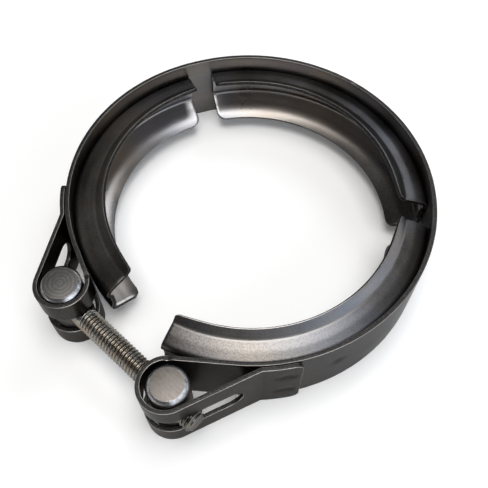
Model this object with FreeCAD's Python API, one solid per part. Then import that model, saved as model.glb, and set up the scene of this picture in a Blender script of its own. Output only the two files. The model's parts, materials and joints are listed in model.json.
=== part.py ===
"""Solids of the vee band clamp, in millimetres, +Z up.

The origin is on the ring's axis, in the middle plane of the vee groove.
The mouth, where the tee bolt draws the two ends together, faces -Y.
"""

import math
import os

import FreeCAD
import Part

Vector = FreeCAD.Vector

# Strap: one strip whose two ends fold back round the trunnions.
STRAP_OUTER_RADIUS = 49.0
STRAP_THICKNESS = 1.1
STRAP_WIDTH = 21.6
STRAP_MIDDLE_HEIGHT = -1.5
ARM_RADIUS = {"left": 46.0, "right": 47.8}
ARM_SET_TURN = {"left": -1.3, "right": -0.4}

# Vee retainers: three equal arcs of one pressed channel.
RETAINER_SPAN = 106.0
RETAINER_GAP = 8.4
RETAINER_THICKNESS = 1.1
LIP_RADIUS = 39.1
LIP_HEIGHT = 7.64
CREASE_RADIUS = 41.6
CREASE_HEIGHT = 6.1
CREASE_BEND = 1.3
SHOULDER_HEIGHT = 4.3
SHOULDER_BEND = 1.3
WEB_STEP = 0.68
WEB_STEP_TOP = 3.0
WEB_HALF_HEIGHT = 2.0
WEB_BEND = 0.7
UPPER_CORNER_RADIUS = 0.8
LOWER_CORNER_RADIUS = 2.4
SEAT_GAP = 0.02
CORNER_SEARCH = 0.3

# Trunnions and the loops that hold them.
TRUNNION_CENTRE = {"left": (-17.8, -50.75), "right": (19.25, -52.9)}
LOOP_CENTRE = {"left": (-17.95, -50.45), "right": (18.85, -53.1)}
TRUNNION_RADIUS = 5.1
TRUNNION_LENGTH = 22.2
TRUNNION_CHAMFER = {"left": 0.8, "right": 1.1}
LOOP_CLEARANCE = 0.65
SLOT_WIDTH = 7.3
SLOT_INNER_END = 24.0
SLOT_OUTER_REACH = 12.5

# Folded end of each strap leg, spot welded to the arm.
TAB_START = {"left": -50.4, "right": -47.7}
TAB_END = {"left": -39.1, "right": -37.1}
TAB_GAP = 0.25
TAB_BEND_RADIUS = 3.0
TAB_CORNER_RADIUS = 2.2
WELD_RADIUS = 2.3
WELD_SPACING = 9.0
WELD_OFFSET_TURN = 1.0

# Punched notch beside each trunnion, which keeps it from sliding out.
STAKE_RADIUS = 1.3
STAKE_DEPTH = 0.45
STAKE_PAST_LOOP_START = 4.0

# Tee bolt: a threaded stud fixed in the left trunnion.
STUD_RADIUS = 3.0
NECK_RADIUS = 3.1
NECK_END = 7.0
STUD_TIP_PAST_TRUNNION = 8.6
STUD_CHAMFER = 0.9
STUD_SOCKET_DEPTH = 3.0
BORE_RADIUS = 3.3
BORE_REACH = 10.0

STRAP_MIDDLE_RADIUS = STRAP_OUTER_RADIUS - STRAP_THICKNESS / 2
STRAP_BOTTOM = STRAP_MIDDLE_HEIGHT - STRAP_WIDTH / 2
LOOP_RADIUS = TRUNNION_RADIUS + LOOP_CLEARANCE + STRAP_THICKNESS / 2
ORIGIN = Vector(0, 0, 0)
UP = Vector(0, 0, 1)
EAST = Vector(1, 0, 0)


def polar(radius, degrees):
    angle = math.radians(degrees)
    return Vector(radius * math.cos(angle), radius * math.sin(angle), 0)


def heading_vector(degrees):
    return polar(1.0, degrees)


def left_normal(degrees):
    return polar(1.0, degrees + 90)


# Plan path of the strap: runs and arcs that follow one another tangentially.
# An arc is (centre, radius, start heading, turn), and a run is (start, heading, length).


def arc_edge(arc, offset):
    """Edge parallel to an arc of the path, offset to its left."""
    centre, radius, heading, turn = arc
    side = 1 if turn > 0 else -1
    parallel = radius - side * offset
    points = []
    for part in (0.0, 0.5, 1.0):
        points.append(centre - left_normal(heading + turn * part) * side * parallel)
    return Part.Arc(*points).toShape()


def run_edge(run, offset):
    """Edge parallel to a straight run of the path, offset to its left."""
    start, heading, length = run
    first = start + left_normal(heading) * offset
    return Part.LineSegment(first, first + heading_vector(heading) * length).toShape()


def path_edge(piece, offset):
    return arc_edge(piece, offset) if len(piece) == 4 else run_edge(piece, offset)


def strip_solid(path, thickness, bottom, height):
    """Strip of sheet standing on edge along a plan path."""
    left = [path_edge(piece, thickness / 2) for piece in path]
    right = [path_edge(piece, -thickness / 2) for piece in path]
    start_cap = Part.LineSegment(right[0].Vertexes[0].Point, left[0].Vertexes[0].Point)
    end_cap = Part.LineSegment(left[-1].Vertexes[-1].Point, right[-1].Vertexes[-1].Point)
    edges = left + [end_cap.toShape()] + right[::-1] + [start_cap.toShape()]
    wire = Part.Wire(Part.__sortEdges__(edges))
    face = Part.Face(wire)
    face.translate(UP * bottom)
    return face.extrude(UP * height)


def arc_end(arc):
    """Point and heading at the end of an arc."""
    centre, radius, heading, turn = arc
    side = 1 if turn > 0 else -1
    return centre - left_normal(heading + turn) * side * radius, heading + turn


def tangent_run(first, first_radius, second, second_radius):
    """Straight run from one circle to the next; radii are positive where the path turns left."""
    across = second - first
    shift = second_radius - first_radius
    length = math.sqrt(across.Length**2 - shift**2)
    direction = math.degrees(math.atan2(across.y, across.x) - math.atan2(shift, length))
    start = first - left_normal(direction) * first_radius
    return start, direction, length


def turn_to(start, end, side):
    """Turn from one heading to another, to the left (1) or the right (-1)."""
    turn = (end - start) % 360
    return turn if side > 0 else turn - 360


def half_path(side):
    """Plan path of half the strap, from the ring's back to the tab, drawn on the +X side."""
    back = (ORIGIN, STRAP_MIDDLE_RADIUS, 0.0, -RETAINER_SPAN / 2)
    point, heading = arc_end(back)
    gap_length = STRAP_MIDDLE_RADIUS * math.radians(RETAINER_GAP)
    gap_turn = RETAINER_GAP + ARM_SET_TURN[side]
    gap_radius = gap_length / math.radians(gap_turn)
    gap = (point - left_normal(heading) * gap_radius, gap_radius, heading, -gap_turn)
    point, heading = arc_end(gap)
    arm_radius = ARM_RADIUS[side]
    arm_centre = point - left_normal(heading) * arm_radius
    x, y = LOOP_CENTRE[side]
    loop_centre = Vector(abs(x), y, 0)
    inner_leg = tangent_run(arm_centre, -arm_radius, loop_centre, LOOP_RADIUS)
    arm = (arm_centre, arm_radius, heading, turn_to(heading, inner_leg[1], -1))
    tab_radius = arm_radius + STRAP_THICKNESS + TAB_GAP
    bend_centre = arm_centre + polar(tab_radius + TAB_BEND_RADIUS, TAB_START[side])
    outer_leg = tangent_run(loop_centre, LOOP_RADIUS, bend_centre, -TAB_BEND_RADIUS)
    loop = (loop_centre, LOOP_RADIUS, inner_leg[1], turn_to(inner_leg[1], outer_leg[1], 1))
    tab_heading = TAB_START[side] + 90
    bend = (bend_centre, TAB_BEND_RADIUS, outer_leg[1], turn_to(outer_leg[1], tab_heading, -1))
    tab = (arm_centre, tab_radius, tab_heading, TAB_END[side] - TAB_START[side])
    return {
        "back": back,
        "gap": gap,
        "arm": arm,
        "inner_leg": inner_leg,
        "loop": loop,
        "outer_leg": outer_leg,
        "bend": bend,
        "tab": tab,
    }


def to_side(shape, side):
    """Shape drawn on the +X side, mirrored for the left."""
    if side == "right":
        return shape
    return shape.mirror(ORIGIN, EAST)


def capsule_end(centre, outward):
    """Round end of the stud slot, bored through the strap."""
    reach = 2 * STRAP_THICKNESS
    return Part.makeCylinder(SLOT_WIDTH / 2, 2 * reach, centre - outward * reach, outward)


def stud_heading(side):
    """Direction of the stud's axis as seen from a trunnion on the +X side, towards its mate."""
    first = Vector(*TRUNNION_CENTRE["right"], 0)
    second = Vector(*TRUNNION_CENTRE["left"], 0)
    slope = math.degrees(math.atan2(first.y - second.y, first.x - second.x))
    return 180 + slope if side == "right" else 180 - slope


def make_slot(side, path):
    """Cutting solid for the stud slot of one loop: round the loop, then along the outer leg."""
    centre = path["loop"][0] + UP * STRAP_MIDDLE_HEIGHT
    leg_start, leg_heading, _ = path["outer_leg"]
    leg_side = leg_heading - 90
    inner_angle = stud_heading(side) - SLOT_INNER_END
    sweep = (leg_side - inner_angle) % 360
    reach = STRAP_THICKNESS
    low = Vector(0, 0, -SLOT_WIDTH / 2)
    ring = Part.makeCylinder(LOOP_RADIUS + reach, SLOT_WIDTH, low, UP, sweep)
    ring = ring.cut(Part.makeCylinder(LOOP_RADIUS - reach, SLOT_WIDTH, low, UP, sweep))
    ring.rotate(ORIGIN, UP, inner_angle)
    ring.translate(centre)
    leg = Part.makeBox(SLOT_OUTER_REACH, 2 * reach, SLOT_WIDTH, low - Vector(0, reach, 0))
    leg.rotate(ORIGIN, UP, leg_heading)
    leg.translate(leg_start + UP * STRAP_MIDDLE_HEIGHT)
    far = leg_start + heading_vector(leg_heading) * SLOT_OUTER_REACH + UP * STRAP_MIDDLE_HEIGHT
    near = centre + polar(LOOP_RADIUS, inner_angle)
    ends = [capsule_end(far, heading_vector(leg_side)), capsule_end(near, polar(1.0, inner_angle))]
    return ring.fuse([leg] + ends)


def make_stake(path):
    """Cutting solid for the punched notch in the upper edge where the inner leg meets the loop."""
    centre, radius, heading, _ = path["loop"]
    outward = polar(1.0, heading - 90 + STAKE_PAST_LOOP_START)
    height = STRAP_BOTTOM + STRAP_WIDTH + STAKE_RADIUS - STAKE_DEPTH
    start = centre + outward * (radius - STRAP_THICKNESS) + UP * height
    return Part.makeCylinder(STAKE_RADIUS, 2 * STRAP_THICKNESS, start, outward)


def round_tab(sheet, side, path):
    """Rounds the two corners of the folded tab's end."""
    arm_centre, tab_radius, _, _ = path["tab"]
    end = arm_centre + polar(tab_radius, TAB_END[side])
    corners = []
    for edge in sheet.Edges:
        middle = edge.CenterOfMass
        near = (Vector(middle.x, middle.y, 0) - end).Length < CORNER_SEARCH
        if near and edge.Length < 2 * STRAP_THICKNESS:
            corners.append(edge)
    return sheet.makeFillet(TAB_CORNER_RADIUS, corners)


def weld_nuggets(side, path):
    """The two spot welds that join a tab to the arm under it."""
    outward = polar(1.0, (TAB_START[side] + TAB_END[side]) / 2 + WELD_OFFSET_TURN)
    foot = path["tab"][0] + outward * ARM_RADIUS[side]
    nuggets = []
    for sign in (-1, 1):
        start = foot + UP * (STRAP_MIDDLE_HEIGHT + sign * WELD_SPACING / 2)
        nuggets.append(Part.makeCylinder(WELD_RADIUS, STRAP_THICKNESS + TAB_GAP, start, outward))
    return nuggets


def strap_half(side):
    path = half_path(side)
    sheet = strip_solid(list(path.values()), STRAP_THICKNESS, STRAP_BOTTOM, STRAP_WIDTH)
    sheet = round_tab(sheet.cut([make_slot(side, path), make_stake(path)]), side, path)
    return to_side(sheet.fuse(weld_nuggets(side, path)), side)


def make_strap():
    whole = strap_half("right").fuse(strap_half("left"))
    return whole.removeSplitter()


# Vee retainers


def retainer_section():
    """Middle line of the pressed channel, from the upper lip down, as (radius, height, bend radius)."""
    seat = STRAP_OUTER_RADIUS - STRAP_THICKNESS - SEAT_GAP - RETAINER_THICKNESS / 2
    upper = [
        (LIP_RADIUS, LIP_HEIGHT, 0.0),
        (CREASE_RADIUS, CREASE_HEIGHT, CREASE_BEND),
        (seat, SHOULDER_HEIGHT, SHOULDER_BEND),
        (seat, WEB_STEP_TOP, WEB_BEND),
        (seat - WEB_STEP, WEB_HALF_HEIGHT, WEB_BEND),
    ]
    lower = [(radius, -height, bend) for radius, height, bend in upper[::-1]]
    return upper + lower


def left_in_section(direction):
    return Vector(-direction.z, 0, direction.x)


def rounded_offset(points, offset):
    """Edges parallel to a bent middle line, offset to its left, with concentric bends."""
    corners = [Vector(radius, 0, height) for radius, height, _ in points]
    runs = [(there - here).normalize() for here, there in zip(corners, corners[1:])]
    previous = corners[0] + left_in_section(runs[0]) * offset
    edges = []
    for index in range(1, len(runs)):
        before, after = runs[index - 1], runs[index]
        turn = math.atan2(before.x * after.z - before.z * after.x, before.dot(after))
        bend = points[index][2]
        side = 1 if turn > 0 else -1
        reach = bend * math.tan(abs(turn) / 2)
        centre = corners[index] - before * reach + left_in_section(before) * side * bend
        radius = bend - side * offset
        start_arm = left_in_section(before) * (-side * radius)
        end_arm = left_in_section(after) * (-side * radius)
        middle_arm = (start_arm + end_arm).normalize() * abs(radius)
        edges.append(Part.LineSegment(previous, centre + start_arm).toShape())
        edges.append(Part.Arc(centre + start_arm, centre + middle_arm, centre + end_arm).toShape())
        previous = centre + end_arm
    last = corners[-1] + left_in_section(runs[-1]) * offset
    edges.append(Part.LineSegment(previous, last).toShape())
    return edges


def section_face():
    points = retainer_section()
    half = RETAINER_THICKNESS / 2
    one = rounded_offset(points, half)
    other = rounded_offset(points, -half)
    first_cap = Part.LineSegment(one[0].Vertexes[0].Point, other[0].Vertexes[0].Point)
    last_cap = Part.LineSegment(one[-1].Vertexes[-1].Point, other[-1].Vertexes[-1].Point)
    edges = one + other + [first_cap.toShape(), last_cap.toShape()]
    return Part.Face(Part.Wire(Part.__sortEdges__(edges)))


def lip_corners(body, lip_radius, sign):
    """Short edges at the ends of the upper (1) or lower (-1) lip."""
    corners = []
    for edge in body.Edges:
        middle = edge.CenterOfMass
        short = abs(edge.Length - RETAINER_THICKNESS) < 0.01
        inner = math.hypot(middle.x, middle.y) < lip_radius + CORNER_SEARCH
        if short and inner and middle.z * sign > 0:
            corners.append(edge)
    return corners


def retainer(centre, arc_radius, start_azimuth):
    """Retainer that runs clockwise from an azimuth about the centre of its arc."""
    widen = arc_radius - STRAP_MIDDLE_RADIUS
    face = section_face()
    face.translate(EAST * widen)
    face.rotate(ORIGIN, UP, start_azimuth)
    body = face.revolve(ORIGIN, -UP, RETAINER_SPAN * STRAP_MIDDLE_RADIUS / arc_radius)
    for sign, corner in ((1, UPPER_CORNER_RADIUS), (-1, LOWER_CORNER_RADIUS)):
        body = body.makeFillet(corner, lip_corners(body, LIP_RADIUS + widen, sign))
    body.translate(centre)
    return body


def side_retainer(side):
    path = half_path(side)
    centre, radius, heading, _ = path["arm"]
    return to_side(retainer(centre, radius, heading + 90), side)


# Trunnions and stud


def trunnion_at(side):
    x, y = TRUNNION_CENTRE[side]
    pin = Part.makeCylinder(TRUNNION_RADIUS, TRUNNION_LENGTH, Vector(x, y, STRAP_BOTTOM), UP)
    rims = [edge for edge in pin.Edges if edge.Closed]
    return pin.makeChamfer(TRUNNION_CHAMFER[side], rims)


def stud_axis():
    start = Vector(*TRUNNION_CENTRE["left"], STRAP_MIDDLE_HEIGHT)
    end = Vector(*TRUNNION_CENTRE["right"], STRAP_MIDDLE_HEIGHT)
    return start, (end - start).normalize(), (end - start).Length


def make_stud():
    start, along, spacing = stud_axis()
    first = TRUNNION_RADIUS - STUD_SOCKET_DEPTH
    tip = spacing + STUD_TIP_PAST_TRUNNION
    neck = Part.makeCylinder(NECK_RADIUS, NECK_END - first, start + along * first, along)
    shank = Part.makeCylinder(STUD_RADIUS, tip - NECK_END, start + along * NECK_END, along)
    end_point = start + along * tip
    circles = [edge for edge in shank.Edges if edge.Closed]
    end_rim = min(circles, key=lambda edge: (edge.CenterOfMass - end_point).Length)
    shank = shank.makeChamfer(STUD_CHAMFER, [end_rim])
    return neck.fuse(shank).removeSplitter()


def bolt_trunnion():
    start, along, _ = stud_axis()
    first = TRUNNION_RADIUS - STUD_SOCKET_DEPTH
    socket = Part.makeCylinder(NECK_RADIUS, TRUNNION_RADIUS, start + along * first, along)
    return trunnion_at("left").cut(socket)


def spacer_trunnion():
    start, along, spacing = stud_axis()
    first = spacing - BORE_REACH
    bore = Part.makeCylinder(BORE_RADIUS, 2 * BORE_REACH, start + along * first, along)
    return trunnion_at("right").cut(bore)


def main():
    os.makedirs("parts", exist_ok=True)
    nodes = {
        "band_strap": make_strap(),
        "retainer_middle": retainer(ORIGIN, STRAP_MIDDLE_RADIUS, 90 + RETAINER_SPAN / 2),
        "retainer_left": side_retainer("left"),
        "retainer_right": side_retainer("right"),
        "bolt_trunnion": bolt_trunnion(),
        "bolt_stud": make_stud(),
        "spacer_trunnion": spacer_trunnion(),
    }
    for name, shape in nodes.items():
        if len(shape.Solids) != 1 or not shape.isValid():
            raise ValueError(f"{name} isn't one valid solid")
        shape.Solids[0].exportStep(f"parts/{name}.step")


main()
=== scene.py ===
"""Looks of the vee band clamp: formed strap, pressed retainers, trunnions and a threaded tee bolt."""

import json
import math

import bmesh
import bpy
from bpy.props import FloatProperty, FloatVectorProperty, PointerProperty
from mathutils import Matrix, Vector
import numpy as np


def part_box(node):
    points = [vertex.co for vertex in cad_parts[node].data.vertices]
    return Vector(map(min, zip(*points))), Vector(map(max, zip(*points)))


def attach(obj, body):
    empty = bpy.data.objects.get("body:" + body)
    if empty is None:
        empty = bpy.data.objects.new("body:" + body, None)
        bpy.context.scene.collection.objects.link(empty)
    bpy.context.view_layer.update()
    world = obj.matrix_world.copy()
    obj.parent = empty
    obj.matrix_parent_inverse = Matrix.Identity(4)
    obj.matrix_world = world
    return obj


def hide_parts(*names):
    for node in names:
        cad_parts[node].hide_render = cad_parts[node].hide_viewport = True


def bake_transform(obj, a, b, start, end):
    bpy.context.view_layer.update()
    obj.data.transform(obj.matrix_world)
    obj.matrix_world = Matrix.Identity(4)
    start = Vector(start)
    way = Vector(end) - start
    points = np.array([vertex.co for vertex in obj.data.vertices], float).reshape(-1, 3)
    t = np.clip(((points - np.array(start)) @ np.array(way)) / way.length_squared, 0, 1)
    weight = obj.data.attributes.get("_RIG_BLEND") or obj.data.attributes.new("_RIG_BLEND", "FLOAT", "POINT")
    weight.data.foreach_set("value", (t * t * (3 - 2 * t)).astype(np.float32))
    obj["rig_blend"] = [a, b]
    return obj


bl_info = {
    "name": "Vee Band Clamp",
    "version": (1, 0, 0),
    "blender": (4, 5, 0),
    "location": "3D View > Sidebar > Clamp",
    "description": "Builds a vee band clamp's strap, retainers, trunnions and tee bolt",
    "category": "Object",
}

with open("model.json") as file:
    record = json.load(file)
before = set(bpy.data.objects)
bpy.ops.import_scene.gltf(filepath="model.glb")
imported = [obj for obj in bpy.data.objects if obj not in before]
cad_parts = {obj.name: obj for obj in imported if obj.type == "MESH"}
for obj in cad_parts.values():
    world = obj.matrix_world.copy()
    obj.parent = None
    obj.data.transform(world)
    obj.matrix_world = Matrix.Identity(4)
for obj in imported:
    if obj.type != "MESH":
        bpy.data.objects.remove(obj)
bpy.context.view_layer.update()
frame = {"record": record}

MM = 0.001
NEAR = 0.02 * MM
SIDES = {"left": -1, "right": 1}

# The ring, as formed. Its axis is the frame's Z axis, and the mouth faces -Y.
STRAP_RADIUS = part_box("band_strap")[1].y
STRAP_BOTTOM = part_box("band_strap")[0].z
STRAP_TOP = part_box("band_strap")[1].z
STRAP_WIDTH = STRAP_TOP - STRAP_BOTTOM
STRAP_MIDDLE = (STRAP_TOP + STRAP_BOTTOM) / 2
SHEET = 1.1 * MM
RING = STRAP_RADIUS - SHEET / 2
RETAINER_SPAN = math.radians(106)
RETAINER_LENGTH = RING * RETAINER_SPAN
GAP_SPAN = math.radians(8.4)
ARM_RADIUS = {"left": 46.0 * MM, "right": 47.8 * MM}
ARM_SET_TURN = {"left": math.radians(-1.3), "right": math.radians(-0.4)}

# Loops, slots and folded tabs.
LOOP_CENTRE = {"left": Vector((-17.95, -50.45, 0)) * MM, "right": Vector((18.85, -53.1, 0)) * MM}
LOOP_CLEARANCE = 0.65 * MM
SLOT_WIDTH = 7.3 * MM
SLOT_INNER_END = math.radians(24)
SLOT_OUTER_REACH = 12.5 * MM
TAB_START = {"left": math.radians(-50.4), "right": math.radians(-47.7)}
TAB_END = {"left": math.radians(-39.1), "right": math.radians(-37.1)}
TAB_GAP = 0.25 * MM
TAB_BEND = 3.0 * MM
TAB_CORNER = 2.2 * MM

# Spot welds that draw each tab down onto its arm.
WELD_RADIUS = 2.7 * MM
WELD_SPACING = 9.0 * MM
WELD_SHIFT = 0.9 * MM
WELD_FLATNESS = 1.6

# The retainer's spot weld that marks the outside of the right arm.
ARM_WELD_AZIMUTH = math.radians(-25)
ARM_WELD_HEIGHT = 1.5 * MM
ARM_WELD_DEPTH = 0.3 * MM

# Notch punched beside each trunnion, and how much it thickens the sheet.
STAKE_HALF_WIDTH = 1.2 * MM
STAKE_PAST_LOOP_START = 0.45 * MM
STAKE_REACH = 1.6 * MM
STAKE_THICKENING = 0.25

# Rules across and along the strap's blank, finer where it is bent or punched.
BEND_PITCH = 0.4 * MM
ARM_PITCH = 1.2 * MM
LEG_PITCH = 1.5 * MM
ROW_PITCH = 0.9 * MM
FINE_BEFORE_LOOP = 4 * MM
FINE_PAST_LOOP = 1 * MM
SLOT_STEPS = 8

# Tests on a thickened blank: the seam's end, a cut edge's fold, and the slopes of walls and faces.
SEAM_END = 1e-6
CUT_EDGE_FOLD = 1.2
WALL_SLOPE = 0.15
FACE_SLOPE = 0.99

# Retainer section, as (radius, height, bend radius) at the upper lip, crease, crown, shoulder and web.
LIP_RADIUS = 39.1 * MM
SEAT_GAP = 0.02 * MM
SEAT_RADIUS = STRAP_RADIUS - SHEET - SEAT_GAP - SHEET / 2
WEB_STEP = 0.68 * MM
SECTION = (
    (LIP_RADIUS, 7.64 * MM, 0.0),
    (41.6 * MM, 6.1 * MM, 1.3 * MM),
    (44.2 * MM, 5.42 * MM, 5.0 * MM),
    (SEAT_RADIUS, 4.3 * MM, 1.3 * MM),
    (SEAT_RADIUS, 3.0 * MM, 0.7 * MM),
    (SEAT_RADIUS - WEB_STEP, 2.0 * MM, 0.7 * MM),
)

# The lower half mirrors the upper, with a softer crease and rounder corners.
LOWER_CREASE_BEND = 14.0 * MM
UPPER_CORNER = 0.8 * MM
LOWER_CORNER = 2.4 * MM

# Rows and columns of a retainer's blank. A corner's rows are shares of its radius.
UPPER_CORNER_ROWS = (0.0, 0.3, 0.6)
LOWER_CORNER_ROWS = (1.0, 0.8, 0.6, 0.42, 0.27, 0.13, 0.0)
RETAINER_ROW_PITCH = 0.45 * MM
RETAINER_COLUMNS = 88

# Share of bright worn metal along the crease between a retainer's leg and its upper lip.
CREASE_WEAR = 0.4

# How much of a rim's wear is left on the groove's side, and on the strap's inside.
GROOVE_WEAR = 0.15
RING_INNER_WEAR = 0.35

# Share of soot on the outside of a retainer's leg and lip, and of painted shade in its groove towards the
# far end.
LEG_SOOT = {"middle": 0.2, "left": 0.3, "right": 0.4}
LIP_SOOT = 0.2
GROOVE_SHADE = {"middle": 0.85, "left": 0.0, "right": 0.5}

# Painted shade that a side retainer has on top of that at the mouth, where its highlight falls away, and how
# soon it fades.
MOUTH_SHADE = 0.6
MOUTH_SHADE_FADE = 14.0 * MM

# Painted shade on the ring's outer face, soot on its inner face, and painted shade that the inner face gains
# at the loops and tabs.
RING_OUTSIDE_SHADE = 0.5
RING_INSIDE_SOOT = 0.1
LOOP_SHADE = 0.6
LOOP_SHADE_FADE = 12 * MM

# How far each upper lip leans outward at its (start, end), as pressed, and how soon that fades.
LIP_FLARE = {"middle": (0.5 * MM, 0.9 * MM), "left": (0.5 * MM, 0.8 * MM), "right": (0.9 * MM, 0.8 * MM)}
FLARE_FADE = 4.0 * MM

# Dark steel's reflection seen nearly edge on, as a share of a mirror's.
EDGE_ON_TINT = (0.5, 0.5, 0.5, 1)

# Direction of the saw marks across the plain trunnion's ends.
SAW_TURN = math.radians(-35)

# Share of bright metal in the streaks that the rolls leave.
STRAP_STREAK = 0.12
RETAINER_STREAK = 0.25

# Relief that the finishes show.
SPECK_HEIGHT = 0.012 * MM
SCRATCH_HEIGHT = 0.02 * MM
PLATING_HEIGHT = 0.03 * MM

# Folds, in degrees, that are shown sharp.
SHARP_FOLD = 40
THREAD_SHARP_FOLD = 60

# Facets of the turned pins and their bores, and the rounding of their edges.
PIN_STEPS = 96
BORE_STEPS = 64
CRISP_EDGE = 0.06 * MM
CRISP_ANGLE = math.radians(30)

# Tee bolt. The thread's depth, run-in, crest and root are shares of its pitch.
THREAD_START_PAST_TRUNNION = 6.3 * MM
SOCKET_DEPTH = 3.0 * MM
NECK_TAPER = 0.35 * MM
THREAD_DEPTH = 0.6134
THREAD_RUN_IN = 0.9
THREAD_CREST = 0.16
THREAD_ROOT = 0.24
THREAD_STEPS = 60
THREAD_ROWS = 12

# Stage.
PAPER = (0.94, 0.94, 0.94, 1)
FLOOR_HALF = 1.5
CAMERA_PLACE = Vector((61.8, -77.9, 151.0)) * MM
CAMERA_AIM = Vector((5.6, -9.1, -1.5)) * MM

# Sockets of a Mix node that works on colours.
MIX_FACTOR = 0
MIX_FIRST = 6
MIX_SECOND = 7
MIX_RESULT = 2


def joint_place(name):
    """Axis of a hinge in the ring's plane, from the record."""
    for joint in frame["record"]["behaviour"]["joints"]:
        if joint["name"] == name:
            return Vector((joint["pos_m"][0], joint["pos_m"][1], 0))
    raise ValueError(f"the record has no joint named {name}")


TRUNNION = {"left": joint_place("tee_bolt_swivel"), "right": joint_place("spacer_swivel")}
TRUNNION_NODE = {"left": "bolt_trunnion", "right": "spacer_trunnion"}
TRUNNION_RADIUS = (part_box("bolt_trunnion")[1].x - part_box("bolt_trunnion")[0].x) / 2
LOOP_RADIUS = TRUNNION_RADIUS + LOOP_CLEARANCE + SHEET / 2
STUD_START = TRUNNION["left"] + Vector((0, 0, STRAP_MIDDLE))
STUD_ALONG = (TRUNNION["right"] - TRUNNION["left"]).normalized()
STUD_SPACING = (TRUNNION["right"] - TRUNNION["left"]).length


# Paths: runs and arcs that follow one another tangentially, walked by distance.


def heading_vector(angle):
    """Unit vector along a heading."""
    return Vector((math.cos(angle), math.sin(angle), 0))


def left_of(angle):
    """Unit vector to the left of a heading."""
    return Vector((-math.sin(angle), math.cos(angle), 0))


def turn_between(first, second):
    """Turn from one heading to another, by the shorter way."""
    return (second - first + math.pi) % (2 * math.pi) - math.pi


class Path:
    """Plane path of steps (length, turn), each a run or an arc, from a start and a heading."""

    def __init__(self, start, heading, steps):
        self.legs = []
        distance = 0.0
        point = Vector(start)
        for length, turn in steps:
            self.legs.append((distance, length, turn, point, heading))
            point, heading = self.walk(point, heading, length, turn, length)
            distance += length
        self.length = distance

    @staticmethod
    def walk(point, heading, length, turn, travelled):
        """Point and heading after travelling along one leg."""
        if abs(turn) < 1e-9:
            return point + heading_vector(heading) * travelled, heading
        radius = length / turn
        centre = point + left_of(heading) * radius
        reached = heading + turn * travelled / length
        return centre - left_of(reached) * radius, reached

    def at(self, distance):
        """Point and heading at a distance from the start."""
        leg = self.legs[0]
        for candidate in self.legs:
            if distance >= candidate[0]:
                leg = candidate
        start, length, turn, point, heading = leg
        return self.walk(point, heading, length, turn, distance - start)

    def bends(self):
        """Distances where one leg ends and the next begins."""
        return [leg[0] for leg in self.legs[1:]]


def rounded_path(corners):
    """Path through (x, y, bend radius) corners with a tangent arc at each bend."""
    points = [Vector((x, y, 0)) for x, y, _ in corners]
    runs = [there - here for here, there in zip(points, points[1:])]
    headings = [math.atan2(run.y, run.x) for run in runs]
    steps = []
    used = 0.0
    for index, run in enumerate(runs[:-1]):
        bend = corners[index + 1][2]
        turn = turn_between(headings[index], headings[index + 1])
        reach = bend * math.tan(abs(turn) / 2)
        steps.append((run.length - used - reach, 0.0))
        steps.append((abs(turn) * bend, turn))
        used = reach
    steps.append((runs[-1].length - used, 0.0))
    return Path(points[0], headings[0], steps)


def tangent_run(first, first_radius, second, second_radius):
    """Straight run from one circle to the next; radii are positive where the path turns left."""
    across = second - first
    shift = second_radius - first_radius
    length = math.sqrt(across.length_squared - shift**2)
    direction = math.atan2(across.y, across.x) - math.atan2(shift, length)
    return direction, length


LEGS = ("back", "gap", "arm", "inner_leg", "loop", "outer_leg", "bend", "tab")


def leg_starts(path):
    """Distance along half the strap at which each of its legs starts."""
    return dict(zip(LEGS, (leg[0] for leg in path.legs)))


def half_strap(side):
    """Path of half the strap from the ring's back to the tab's end, on the +X side, and its slot."""
    back_turn = RETAINER_SPAN / 2
    gap_turn = GAP_SPAN + ARM_SET_TURN[side]
    gap_length = RING * GAP_SPAN
    arm_radius = ARM_RADIUS[side]
    start = Vector((0, RING, 0))
    opening = Path(start, 0.0, [(RING * back_turn, -back_turn), (gap_length, -gap_turn)])
    point, heading = opening.at(opening.length)
    arm_centre = point - left_of(heading) * arm_radius
    loop_centre = Vector((abs(LOOP_CENTRE[side].x), LOOP_CENTRE[side].y, 0))
    inner_heading, inner_length = tangent_run(arm_centre, -arm_radius, loop_centre, LOOP_RADIUS)
    tab_radius = arm_radius + SHEET + TAB_GAP
    tab_turn = TAB_END[side] - TAB_START[side]
    bend_centre = arm_centre + heading_vector(TAB_START[side]) * (tab_radius + TAB_BEND)
    outer_heading, outer_length = tangent_run(loop_centre, LOOP_RADIUS, bend_centre, -TAB_BEND)
    full = 2 * math.pi
    arm_turn = (heading - inner_heading) % full
    loop_turn = (outer_heading - inner_heading) % full
    bend_turn = (outer_heading - (TAB_START[side] + math.pi / 2)) % full
    steps = [
        (RING * back_turn, -back_turn),
        (gap_length, -gap_turn),
        (arm_radius * arm_turn, -arm_turn),
        (inner_length, 0.0),
        (LOOP_RADIUS * loop_turn, loop_turn),
        (outer_length, 0.0),
        (TAB_BEND * bend_turn, -bend_turn),
        (tab_radius * tab_turn, tab_turn),
    ]
    path = Path(start, 0.0, steps)
    starts = leg_starts(path)
    mate = STUD_ALONG * -SIDES[side]
    stud_angle = math.atan2(mate.y, mate.x * SIDES[side])
    slot_angle = stud_angle - SLOT_INNER_END
    slot_turn = (slot_angle - (inner_heading - math.pi / 2)) % full
    slot = (starts["loop"] + LOOP_RADIUS * slot_turn, starts["outer_leg"] + SLOT_OUTER_REACH)
    return path, slot


# Blanks: a flat outline cut from sheet, ruled with lines, thickened and laid along a form.


def corner_arc(centre, radii, start, steps=6):
    """Quarter turn of an outline's round corner, counter-clockwise from a start angle."""
    points = []
    for step in range(steps + 1):
        angle = start + math.pi / 2 * step / steps
        points.append((centre[0] + radii[0] * math.cos(angle), centre[1] + radii[1] * math.sin(angle)))
    return points


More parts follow.
